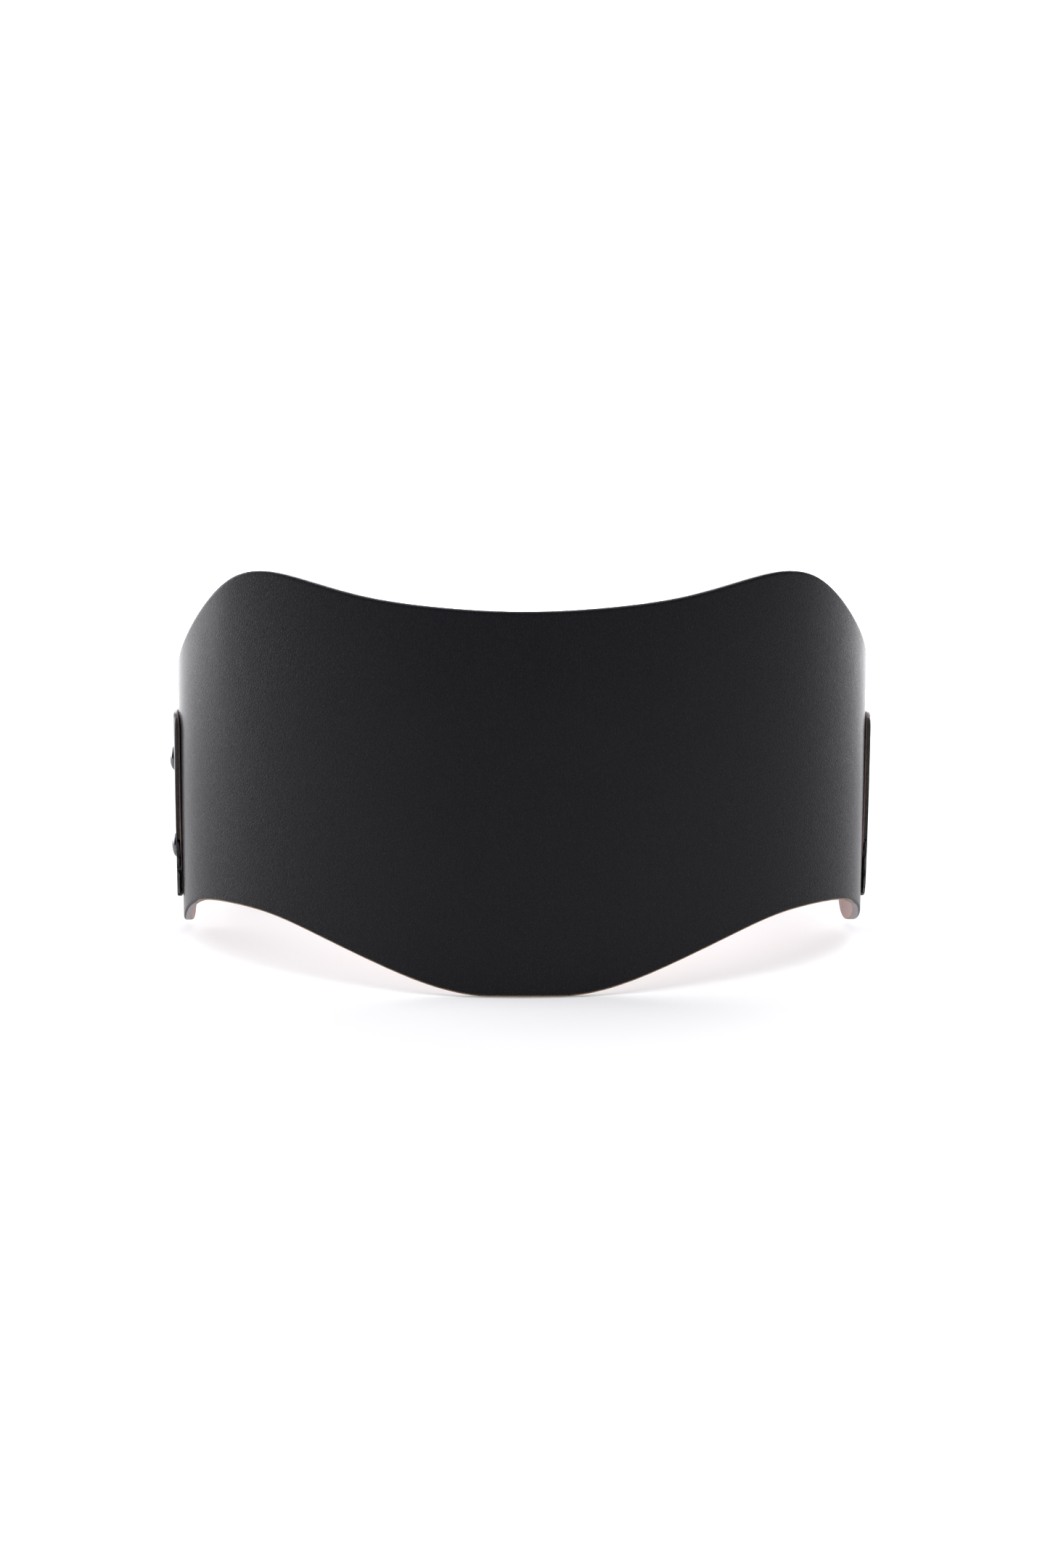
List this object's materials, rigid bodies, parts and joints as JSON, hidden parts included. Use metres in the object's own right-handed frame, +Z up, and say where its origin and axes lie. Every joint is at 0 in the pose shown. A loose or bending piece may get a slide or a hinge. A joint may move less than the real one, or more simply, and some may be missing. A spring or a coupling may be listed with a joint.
{
  "type": "waist belt",
  "caption": "Wide contoured leather waist belt, a moulded front panel with riveted side straps that lap and press-stud together at the back.",
  "frame": {"origin": "middle of the underside of the belt's bounding box, on the ground it stands on", "axes": "+Z up, the front panel's middle faces -Y, the closure is at +Y, +X to the right seen from the front"},
  "size_m": [0.2492, 0.2108, 0.1376],
  "materials": {
    "panel_leather": "black fine-grained satin leather, raw flesh side and cut edges",
    "strap_leather": "black fine-grained satin leather",
    "dark_nickel": "polished dark nickel plate"
  },
  "bodies": {
    "panel": {"front_panel": "panel_leather", "left_strap_tab": "strap_leather", "right_strap_tab": "strap_leather", "rivet_cap_left_1": "dark_nickel", "rivet_cap_left_2": "dark_nickel", "rivet_cap_right_1": "dark_nickel", "rivet_cap_right_2": "dark_nickel", "rivet_back_left_1": "dark_nickel", "rivet_back_left_2": "dark_nickel", "rivet_back_right_1": "dark_nickel", "rivet_back_right_2": "dark_nickel"},
    "left_strap": {"left_strap": "strap_leather"},
    "flap": {"left_strap_flap": "strap_leather", "press_cap_1": "dark_nickel", "press_cap_2": "dark_nickel", "press_socket_1": "dark_nickel", "press_socket_2": "dark_nickel"},
    "right_strap": {"right_strap": "strap_leather", "press_stud_1_1": "dark_nickel", "press_stud_1_2": "dark_nickel", "press_stud_2_1": "dark_nickel", "press_stud_2_2": "dark_nickel", "press_stud_3_1": "dark_nickel", "press_stud_3_2": "dark_nickel", "stud_post_1_1": "dark_nickel", "stud_post_1_2": "dark_nickel", "stud_post_2_1": "dark_nickel", "stud_post_2_2": "dark_nickel", "stud_post_3_1": "dark_nickel", "stud_post_3_2": "dark_nickel"}
  },
  "joints": [
    {"name": "left_strap_swing", "type": "hinge", "parent": "panel", "child": "left_strap", "pos_m": [-0.12312, 0.0058, 0.04732], "axis": [0, 0, 1], "range_deg": [0, 60], "stiffness_Nm_per_rad": 0.05},
    {"name": "flap_peel", "type": "hinge", "parent": "left_strap", "child": "flap", "pos_m": [-0.03428, 0.10088, 0.03576], "axis": [0, 0.1207, 0.9927], "range_deg": [0, 100], "stiffness_Nm_per_rad": 0.02},
    {"name": "right_strap_swing", "type": "hinge", "parent": "panel", "child": "right_strap", "pos_m": [0.11601, 0.00639, 0.04725], "axis": [0, 0, 1], "range_deg": [0, 25], "stiffness_Nm_per_rad": 0.05}
  ]
}
